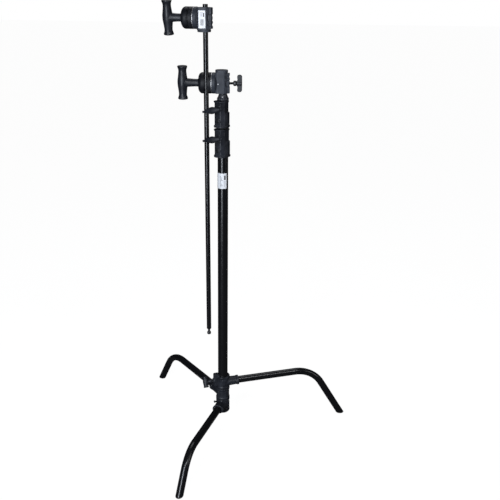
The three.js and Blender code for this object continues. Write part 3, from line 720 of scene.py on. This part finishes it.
# ---- risers and their clamps ----
def clamp_section(radius, lip=0.0):
    """A flat pad, two flanks and a facetted back of a given radius."""
    facets = ((0.26, 0.97), (-0.44, 0.9), (-0.87, 0.49), (-1.0, 0.16))
    back = [(x * radius, y * radius) for x, y in facets]
    half = [(PAD_REACH + lip, PAD_HALF + lip / 2), (20 + lip, 19.5 + lip)] + back
    return half + [(x, -y) for x, y in half[::-1]]


def clamp_casting(level, spec):
    """Facetted body and skirt with lips, two bosses, and the bores for tube and riser."""
    height, body, skirt = spec["height"], spec["body"], spec["skirt"]

    def boss(radius, z, reach):
        return moved(rod("boss", radius, 18, reach, 0.8), shift(z=z) @ ALONG_X)

    def hole(radius, z, low, high):
        return moved(drill(radius, low, high, 48), shift(z=z) @ ALONG_X)

    parts = [
        prism("body", clamp_section(body), 1, height - 1, 2.0, 1.0),
        prism("skirt", clamp_section(skirt), 5, height * 0.56, 2.5, 1.6),
        prism("top_lip", clamp_section(body + 1.6, CLAMP_LIP), height - 5, height, 3.0, 0.9),
        prism("foot_lip", clamp_section(skirt + 1.9, CLAMP_LIP), 0, 6, 4.0, 1.0),
        boss(10.5, spec["screw"], PAD_REACH + 5),
        boss(9.6, spec["bolt"], PAD_REACH + 3.5),
    ]
    return carved(
        cast(level + "_clamp_casting_detail", parts, 0.7, 4),
        drill(spec["tube"] + GAP, -2, spec["step"], 96),
        drill(spec["riser"] + GAP + 0.1, spec["step"] - 1, height + 2, 96),
        hole(5.3, spec["screw"], 5, 60),
        hole(4.3, spec["bolt"], 10, 60),
        hole(7.0, spec["bolt"], PAD_REACH - 4, 60),
    )


def socket_bolt(name, tube):
    """Socket-head bolt with a knurled head and a hexagon recess, along +X."""
    low, high = PAD_REACH - 3.7, PAD_REACH + 2.5

    def knurl(angle, r, z):
        return r - (0.18 * (1 + math.cos(angle * 40)) if r > 6.3 else 0.0)

    profile = [(0, low), (6.6, low), (6.6, high - 0.7), (5.9, high), (0, high)]
    head = turned("head", profile, 0.3, 160, shape=knurl)
    carved(head, hex_recess(6.2, PAD_REACH - 0.8, high + 5))
    shank = threaded("shank", 4, tube + 0.5, low + 0.5, 1.25)
    return moved(joined(name, [head, shank]), ALONG_X)


def wing_handle(name):
    """Lens-shaped wing with ball tips on a hub that the screw goes into."""
    half = [(2.6, 0.985, 1.2), (4.0, 0.95, 1.4), (3.9, 0.89, 1.4), (2.9, 0.83, 1.5),
            (WING_R * 0.36, 0.72, 3), (WING_R * 0.72, 0.42, 5), (WING_R * 0.95, 0.12, 4),
            (WING_R, 0.0, 2)]
    upper = [(r, t * WING_HALF, reach) for r, t, reach in half]
    lower = [(r, -z, reach) for r, z, reach in upper[-2::-1]]
    wing = turned("wing", [(0, WING_HALF)] + upper + lower + [(0, -WING_HALF)], 0.6, 64)
    moved(wing, spin(90 + WING_TILT, "X") @ Matrix.Diagonal((WING_FLATTEN, 1, 1, 1)))
    neck = turned("neck", [(0, 0), (7.4, 0), (7.4, 4), (5.6, 7), (5.6, 22), (0, 22)], 0.8)
    parts = [moved(wing, shift(x=WING_REACH)), moved(neck, shift(x=WING_REACH - 22) @ ALONG_X)]
    handle = cast(name, parts, 0.5, 4)
    return carved(handle, moved(drill(5.1, 20, WING_REACH - 12.7, 40), ALONG_X))


def riser_clamp(level, spec):
    """One clamp: its casting and bolt, and the shoe, screw and wing that grip the riser."""
    place = at(spec["bottom"], CLAMP_AZIMUTH)
    install(clamp_casting(level, spec), place, level + "_clamp_casting")
    bolt = socket_bolt(level + "_casting_bolt_detail", spec["tube"])
    install(bolt, place @ shift(z=spec["bolt"] * MM), level + "_casting_bolt")
    at_screw = place @ shift(z=spec["screw"] * MM)
    screw_from = spec["riser"] + 6
    shoe = rod(level + "_clamp_shoe_detail", 4.8, spec["riser"] + 0.5, screw_from - GAP, 0.5, 48)
    install(shoe, at_screw @ ALONG_X, level + "_clamp_shoe")
    screw = threaded(level + "_clamp_screw_detail", 4.8, screw_from, WING_REACH - 13, 1.75)
    install(screw, at_screw @ ALONG_X, level + "_clamp_screw")
    install(wing_handle(level + "_clamp_handle_detail"), at_screw, level + "_clamp_handle")


def column_label():
    """Sticker wrapped round the column's front."""
    outer, inner = COLUMN_R + 0.85, COLUMN_R + 0.05
    half, facing = math.radians(LABEL_HALF_ANGLE), math.radians(LABEL_AZIMUTH)
    steps = 32
    middle = (LABEL_BOTTOM + LABEL_TOP) / 2
    reach = (LABEL_TOP - LABEL_BOTTOM) / 2
    bm = bmesh.new()
    grid = []
    for radius in (inner, outer):
        rows = []
        for share in (-1.0, -0.985, -0.96, 0.96, 0.985, 1.0):
            corner = max(0.0, abs(share) - 0.96) / 0.04
            span = half * (1 - 0.05 * corner ** 2)
            angles = [facing + span * (2 * k / steps - 1) for k in range(steps + 1)]
            height = middle + reach * share
            rows.append([bm.verts.new((radius * math.cos(a), radius * math.sin(a), height)) for a in angles])
        grid.append(rows)
    for rows, flip in zip(grid, (True, False)):
        for low, high in zip(rows, rows[1:]):
            for k in range(steps):
                face = (low[k], low[k + 1], high[k + 1], high[k])
                bm.faces.new(face[::-1] if flip else face)
    edges = [e for e in bm.edges if e.is_boundary]
    bmesh.ops.bridge_loops(bm, edges=edges)
    label = new_object("column_label_detail", bm)
    centre = COLUMN @ Vector((0, 0, middle * MM))
    bars = [(0.1 + 0.085 * k, 0.145 + 0.085 * k, 0.18, 0.32 + 0.17 * ((k * 7) % 4) / 3, 0.3)
            for k in range(9)]
    bars += [(0.58, 0.86, 0.66, 0.84, 0.08), (0.14, 0.52, 0.68, 0.74, 0.5)]
    paper = label_paper("column_sticker", centre, (1, 0, 0), (0, 0, 1), (0.028, 0.052), bars)
    install(label, at(), "column_label", material=paper)


def risers():
    column_bottom = CAP_BOTTOM + 19
    middle_bottom, top_bottom = column_bottom + 20, column_bottom + 40
    lower, upper = CLAMPS["lower"], CLAMPS["upper"]
    tubes = (("lower_riser_tube", COLUMN_R, column_bottom, lower["bottom"] + lower["step"] - 1),
             ("middle_riser_tube", MIDDLE_R, middle_bottom, upper["bottom"] + upper["step"] - 1),
             ("top_riser_tube", TOP_R, top_bottom, COLLAR_BOTTOM + 8))
    for name, radius, low, high in tubes:
        tube = pipe(name + "_detail", radius, radius - TUBE_WALL, low, high, 0.5, 96)
        install(tube, at(), name)
    for name, outer, inner, top in (("middle_riser_guide", COLUMN_R, MIDDLE_R, middle_bottom),
                                    ("top_riser_guide", MIDDLE_R, TOP_R, top_bottom)):
        guide = pipe(name + "_detail", outer - TUBE_WALL - GAP, inner - 4, top - 14, top - GAP, 0.6, 72)
        install(guide, at(), name)
    column_label()
    for level, spec in CLAMPS.items():
        riser_clamp(level, spec)
    casting_bush(lower, upper)
    pin_and_collar()


def casting_bush(lower, upper):
    """Scalloped bush on the middle riser, between the two clamp castings."""
    def scallops(angle, r, z):
        return r - (1.1 * (0.5 + 0.5 * math.cos(angle * 14)) if r > 18 else 0.0)

    low = lower["bottom"] + lower["height"] + 0.5
    high = upper["bottom"] - GAP
    profile = [(MIDDLE_R + GAP, low), (20, low), (20, high), (MIDDLE_R + GAP, high)]
    bush = turned("upper_casting_bush_detail", profile, 0.8, 168, ring=True, shape=scallops)
    install(bush, at(), "upper_casting_bush")


def pin_and_collar():
    """Fluted collar with a stepped neck, and the pin with its locking waist."""
    low, radius = COLLAR_BOTTOM, COLLAR_R
    neck_top = HEAD_Z + BLOCK_FROM - GAP

    def flutes(angle, r, z):
        return r - (0.8 * max(0.0, math.cos(angle * 12)) ** 3 if r > 13.5 else 0.0)

    profile = [(TOP_R + GAP, low), (radius, low), (radius, low + 5.4), (15.6, low + 11.6),
               (14.2, low + 16), (13, neck_top - 2), (13, neck_top),
               (ROD_R + GAP, neck_top), (ROD_R + GAP, low + 10), (TOP_R + GAP, low + 8.6)]
    collar = turned("pin_collar_detail", profile, 0.5, 168, ring=True, shape=flutes)
    hole = moved(drill(2.2, 14, 30, 32), spin(DOWEL_AZIMUTH) @ shift(z=low + DOWEL_RISE) @ ALONG_X)
    install(carved(collar, hole), at(), "pin_collar")
    pin_profile = [(0, low + 10.5), (ROD_R, low + 10.5), (ROD_R, HEAD_Z - 14), (6.8, HEAD_Z - 11),
                   (6.8, HEAD_Z + 11), (ROD_R, HEAD_Z + 14), (ROD_R, PIN_TOP - 1.5),
                   (ROD_R - 1.5, PIN_TOP), (2.6, PIN_TOP), (1.8, PIN_TOP - 2), (0, PIN_TOP - 2)]
    install(turned("baby_pin_detail", pin_profile, 0.5, 72), at(), "baby_pin")
    dowel_profile = [(0, 14.4), (1.9, 14.4), (1.9, 16.4), (1.2, 16.8), (0, 16.9)]
    dowel = turned("collar_dowel_detail", dowel_profile, 0.3, 32)
    install(dowel, at(low + DOWEL_RISE, DOWEL_AZIMUTH) @ ALONG_X, "collar_dowel")


# ---- grip heads ----
# A head's frame has its origin where the 5/8 inch bore meets its axis, the T-handle at -X
# and the flange at +Z.
BLOCK_SECTION = [(-23, -18), (-17, -20.5), (6, -20.5), (14.5, -14),
                 (14.5, 14), (6, 20.5), (-17, 20.5), (-23, 18)]
RIBS = ((-31.0, -10.5), (9.5, 16.5), (23.5, 31.5))
POCKETS = ((-9.9, 8.9), (17.1, 22.9), (32.1, 34.3))


def receiver(level):
    """Casting with the 5/8 inch bore, flange, ribs, screw boss and friction disc."""
    stadium = [(-24, -20), (16, -20), (16, 20), (-24, 20)]
    disc_profile = [(0, 17), (19, 17), (25, 19.5, 3), (31.4, 22.5, 2), (DISC_R, 25),
                    (DISC_R, HUB_END), (0, HUB_END)]
    disc = turned("disc", disc_profile, 0.8)
    parts = [
        prism("block", BLOCK_SECTION, BLOCK_FROM, FLANGE_FROM + 1, 1.6, 1.0),
        prism("flange", stadium, FLANGE_FROM, FLANGE_TO, 15.5, 2.4),
        moved(disc, TO_HANDLE),
        moved(rod("boss", 7.4, 10, 21.5, 0.8), ALONG_X),
        block("web", (10, 20.2), (-8.5, 8.5), (BLOCK_FROM, 31.5), 2, 1.2),
    ]
    parts += [block("rib", (8, 21.5), (-12, 12), span, 3.2, 1.4) for span in RIBS]
    pockets = [block("pocket", (9.4, 24), sorted((side * 9.4, side * 24)), span, 1.5, 0)
               for span in POCKETS for side in (-1, 1)]
    return carved(
        cast(level + "_head_receiver_detail", parts, 0.65, 4),
        *pockets,
        drill(ROD_R + GAP + 0.1, BLOCK_FROM - 2, FLANGE_TO + 2, 72),
        moved(drill(4.3, 2, 40, 48), ALONG_X),
        moved(drill(6.3, 11, HUB_END + 5, 48), TO_HANDLE),
    )


def outer_face(spec):
    return PLATE_END + spec["gap"]


def outer_end(spec):
    return outer_face(spec) + OUTER_THICKNESS


def jaw_cuts(split):
    """The large and the small groove along Z, and a blind hole in the rim."""
    return [
        moved(drill(ROD_R + 0.55, -60, 60, 64), shift(-split, -ARM_OFFSET, 0)),
        moved(drill(6.2, -60, 60, 56), shift(-split, ARM_OFFSET, 0)),
        moved(drill(3.5, 21, 40, 40), shift(-split, 0, 11.6) @ ALONG_Y),
    ]


def inner_plate(level):
    profile = [(6.3, PLATE), (DISC_R - 0.2, PLATE), (DISC_R, PLATE + 0.7), (DISC_R, PLATE_END),
               (6.3, PLATE_END)]
    plate = turned(level + "_inner_plate_detail", profile, 0.7, 96, ring=True)
    return carved(moved(plate, TO_HANDLE), *jaw_cuts(PLATE_END + GRIP_GAP / 2))


def outer_plate(level, spec):
    """Cup-shaped jaw: flat gripping face, straight rim and a broad round shoulder."""
    face, end = outer_face(spec), outer_end(spec)
    profile = [(6.5, face), (DISC_R, face), (DISC_R, face + 2), (DISC_R - 0.7, face + 2.6, 0.3),
               (DISC_R - 0.7, face + 3.6, 0.3), (DISC_R, face + 4.2), (DISC_R, end - 9.4, 4),
               (DISC_R - 3.4, end - 3.8, 5), (DISC_R - 10, end, 4), (17.5, end), (16.4, end - 1.2),
               (15, end - 1.2), (15, end - 4), (6.5, end - 4)]
    plate = turned(level + "_outer_plate_detail", profile, 0.8, 96, ring=True)
    return carved(moved(plate, TO_HANDLE), *jaw_cuts(face - GRIP_GAP / 2))


def t_handle(level, spec):
    """Grip bar and its conical neck, cast in one."""
    bar_at, neck_from = spec["bar"], outer_end(spec) - 2.2
    profile = [(0, neck_from), (12.4, neck_from), (12.6, neck_from + 3), (11.9, neck_from + 5),
               (12.0, neck_from + 16), (13.4, bar_at - 15, 6), (15.6, bar_at - 4), (0, bar_at - 2)]
    neck = moved(turned("neck", profile, 1.0), TO_HANDLE)
    bar = t_bar("bar", BAR_HALF, BAR_BELLY, BAR_WAIST, BAR_END)
    moved(bar, shift(x=-bar_at) @ spin(spec["turn"], "X"))
    handle = cast(level + "_t_handle_detail", [neck, bar], 0.75, 4)
    return carved(handle, moved(drill(6.3, neck_from - 1, bar_at - 15, 48), TO_HANDLE))


def head(level, place):
    """A whole grip head, from the receiver out to the T-handle."""
    spec = HEADS[level]
    install(receiver(level), place, level + "_head_receiver")
    name = level + "_friction_washer_detail"
    washer = pipe(name, DISC_R - 0.6, 6.3, HUB_END + GAP, WASHER_END, 0.25, 96)
    install(washer, place @ TO_HANDLE, level + "_friction_washer")
    plate_paint = MATERIALS["plate_paint"]
    install(inner_plate(level), place, level + "_inner_plate", material=plate_paint)
    install(outer_plate(level, spec), place, level + "_outer_plate", material=plate_paint)
    bolt = threaded(level + "_centre_bolt_detail", 6, 12, spec["bar"] - 16, 1.75)
    install(bolt, place @ TO_HANDLE, level + "_centre_bolt")
    end = outer_end(spec)
    thrust = pipe(level + "_thrust_washer_detail", 14.4, 6.3, end - 4 + GAP, end - 2.2 - GAP, 0.3, 72)
    install(thrust, place @ TO_HANDLE, level + "_thrust_washer")
    install(t_handle(level, spec), place, level + "_t_handle")


def head_rivet(place):
    """Bright rivet in the side of the lower receiver."""
    profile = [(0, 19.5), (1.8, 19.5), (1.8, 20.7), (1.2, 21.2), (0, 21.3)]
    rivet = turned("lower_head_rivet", profile, 0.3, 32)
    rivet_place = place @ shift(x=-14 * MM, z=-1.0 * MM) @ spin(90, "X")
    install(rivet, rivet_place, body=BODY_OF_NODE["lower_head_receiver"], slot="bright_steel")


def lock_screw(place):
    """Screw with a turned hub, and the knob with two rounded wings."""
    shank = threaded("shank", 4, 7.4, 34, 1.25)
    hub = turned("hub", [(0, 33), (6.2, 33), (8.5, 35), (8.5, 41), (7.2, 43.6), (0, 43.6)], 0.6)
    install(moved(joined("lower_lock_screw_detail", [shank, hub]), ALONG_X), place, "lower_lock_screw")
    half = [(44.2, 8, 1), (47.6, 11, 3), (45.4, 17, 3), (45.2, 24.6, 4), (53, 27.8, 5),
            (60.6, 24.6, 4)]
    outline = [(x, -y, reach) for x, y, reach in half] + [(61, 0, 8)] + half[::-1]
    wings = moved(prism("wings", outline, -6.3, 6.3, 1, 2.4), spin(90, "X"))
    boss = moved(rod("boss", 8.6, 44.2, 60.4, 1.2), ALONG_X)
    install(cast("lower_lock_knob_detail", [wings, boss], 0.5, 4), place, "lower_lock_knob")


# ---- grip arm ----
def grip_arm(place):
    """place has its origin on the arm's axis at the upper head, with +Z up along the arm."""
    tip, top = ARM_TIP - ARM_HEAD_Z, ARM_TOP - ARM_HEAD_Z
    rod_end = ARM_TIP + 24 - ARM_HEAD_Z
    profile = [(ROD_R - 3, rod_end), (ROD_R, rod_end, 0.15), (ROD_R, top, 0.8), (ROD_R - 3, top, 0.5)]
    install(turned("arm_rod_detail", profile, 0.4, 72, ring=True), place, "arm_rod")
    plug_profile = [(0, top - 8), (ROD_R - 3.05, top - 8), (ROD_R - 3.05, top - 1.6),
                    (3.4, top - 1.0), (0, top - 1.0)]
    plug = turned("arm_top_plug", plug_profile, 0.4, 48)
    install(plug, place, body="arm", slot="black_plastic")
    tip_profile = [(0, 0), (5.0, 0), (6.8, 1.8, 1.2), (6.8, 8, 1.2), (5.4, 10), (3.8, 12, 1),
                   (3.8, 18, 1), (ROD_R - 1, 21, 1), (ROD_R, 22.5), (ROD_R, 24 - GAP, 0.15),
                   (ROD_R - 3 - GAP, 24 - GAP), (ROD_R - 3 - GAP, 44), (0, 44)]
    necked = turned("arm_tip_detail", tip_profile, 0.5, 72)
    install(necked, place @ shift(z=tip * MM), "arm_tip")


def upper_head_extras(place):
    """Sticker on the upper receiver's side, and the grub screw that holds the arm."""
    label = block("upper_head_label_detail", (-16.6, 4.6), (20.75, 21.25), (-22.5, 29.5), 0.0, 0.08)
    middle = place @ Vector((-6 * MM, 21 * MM, 3.5 * MM))
    across, along = place.to_3x3().col[0], place.to_3x3().col[2]
    bars = [(0.1, 0.14, 0.24, 0.7, 0.5)]
    bars += [(0.5 + 0.035 * k, 0.522 + 0.035 * k, 0.28, 0.76, 0.12) for k in range(10)]
    bars += [(0.14, 0.36, 0.66, 0.86, 0.06), (0.16, 0.34, 0.3, 0.5, 0.5)]
    bars = [(1 - high, 1 - low, left, right, grey) for low, high, left, right, grey in bars]
    sticker = label_paper("head_sticker", middle, tuple(across), tuple(-along), (0.0212, 0.052), bars)
    install(label, place, "upper_head_label", material=sticker)
    grub = rod("upper_grub_screw_detail", 4, ROD_R + GAP, 18, 0.4, 40)
    carved(grub, hex_recess(4, 14, 22))
    install(moved(grub, ALONG_X), place, "upper_grub_screw")


base()
risers()
head("lower", LOWER_HEAD)
head_rivet(LOWER_HEAD)
lock_screw(LOWER_HEAD)
head("upper", UPPER_HEAD)
grip_arm(ARM)
upper_head_extras(UPPER_HEAD)


# ---- floor, light and camera ----
def seen_by_camera(tree, direct, otherwise):
    """One shader where the camera sees a surface, another where light meets it."""
    path = tree.nodes.new("ShaderNodeLightPath")
    mix = tree.nodes.new("ShaderNodeMixShader")
    tree.links.new(path.outputs["Is Camera Ray"], mix.inputs["Fac"])
    tree.links.new(otherwise, mix.inputs[1])
    tree.links.new(direct, mix.inputs[2])
    return mix.outputs["Shader"]


def studio_floor():
    """White up to the horizon, with soft shadows, but grey where the stand mirrors it."""
    bpy.ops.mesh.primitive_plane_add(size=60)
    floor = bpy.context.object
    floor.name = "studio_floor"
    material, tree, shader, place = node_setup("pale_floor")
    shade = remap(tree, noise(tree, place, 2.0, 3.0), 0.3, 0.7, 0.0, 1.0)
    tree.links.new(mixed(tree, shade, (0.07, 0.07, 0.071), (0.08, 0.08, 0.081)), shader.inputs["Base Color"])
    shader.inputs["Roughness"].default_value = 0.85
    shader.inputs["Specular IOR Level"].default_value = 0.1
    glow = tree.nodes.new("ShaderNodeEmission")
    glow.inputs["Color"].default_value = (1.0, 1.0, 1.0, 1.0)
    glow.inputs["Strength"].default_value = FLOOR_GLOW
    both = tree.nodes.new("ShaderNodeAddShader")
    tree.links.new(shader.outputs["BSDF"], both.inputs[0])
    tree.links.new(glow.outputs["Emission"], both.inputs[1])
    grey = tree.nodes.new("ShaderNodeBsdfDiffuse")
    grey.inputs["Color"].default_value = (0.12, 0.12, 0.122, 1.0)
    output = tree.nodes["Material Output"]
    surface = seen_by_camera(tree, both.outputs["Shader"], grey.outputs["BSDF"])
    tree.links.new(surface, output.inputs["Surface"])
    floor.data.materials.append(material)


def studio_world():
    world = bpy.data.worlds.new("studio")
    world.use_nodes = True
    tree = world.node_tree
    white = tree.nodes["Background"]
    white.inputs["Color"].default_value = (1.0, 1.0, 1.0, 1.0)
    white.inputs["Strength"].default_value = 1.0
    dim = tree.nodes.new("ShaderNodeBackground")
    dim.inputs["Color"].default_value = (0.85, 0.92, 1.0, 1.0)
    dim.inputs["Strength"].default_value = 0.03
    surface = seen_by_camera(tree, white.outputs["Background"], dim.outputs["Background"])
    tree.links.new(surface, tree.nodes["World Output"].inputs["Surface"])
    bpy.context.scene.world = world


def softbox(name, location, aim, size, power, colour=(1, 1, 1)):
    light = bpy.data.lights.new(name, "AREA")
    light.shape = "RECTANGLE"
    light.size, light.size_y = size
    light.energy = power
    light.color = colour
    lamp = bpy.data.objects.new(name, light)
    lamp.location = location
    lamp.rotation_euler = (Vector(aim) - Vector(location)).to_track_quat("-Z", "Y").to_euler()
    lamp.visible_camera = False
    bpy.context.scene.collection.objects.link(lamp)


def studio():
    studio_floor()
    studio_world()
    softbox("key_softbox", (-0.95, -2.3, 1.15), (-0.1, 0, 0.8), (0.5, 2.2), 58, (0.86, 0.92, 1.0))
    softbox("front_softbox", (0.5, -2.0, 2.5), (0, 0, 0.2), (1.8, 0.4), 22, (0.95, 0.97, 1.0))
    softbox("back_softbox", (0.1, 1.3, 2.9), (-0.1, 0, 0.1), (1.6, 1.2), 12, (0.95, 0.97, 1.0))
    softbox("side_softbox", (2.4, -0.7, 1.4), (-0.1, 0, 0.8), (0.6, 1.8), 8)


def camera():
    """Seen from in front and above, with no shift."""
    tilt = math.pi / 2 - math.radians(CAMERA_PITCH_DEG)
    data = bpy.data.cameras.new("camera")
    data.sensor_width = SENSOR_MM
    data.lens = LENS_MM
    data.clip_start, data.clip_end = 0.1, 100.0
    obj = bpy.data.objects.new("camera", data)
    turn = Matrix.Rotation(tilt, 4, "X") @ Matrix.Rotation(CAMERA_ROLL_RAD, 4, "Z")
    obj.matrix_world = Matrix.Translation(CAMERA_PLACE) @ turn
    bpy.context.scene.collection.objects.link(obj)
    bpy.context.scene.camera = obj


studio()
camera()
bpy.context.scene.view_settings.view_transform = "Standard"
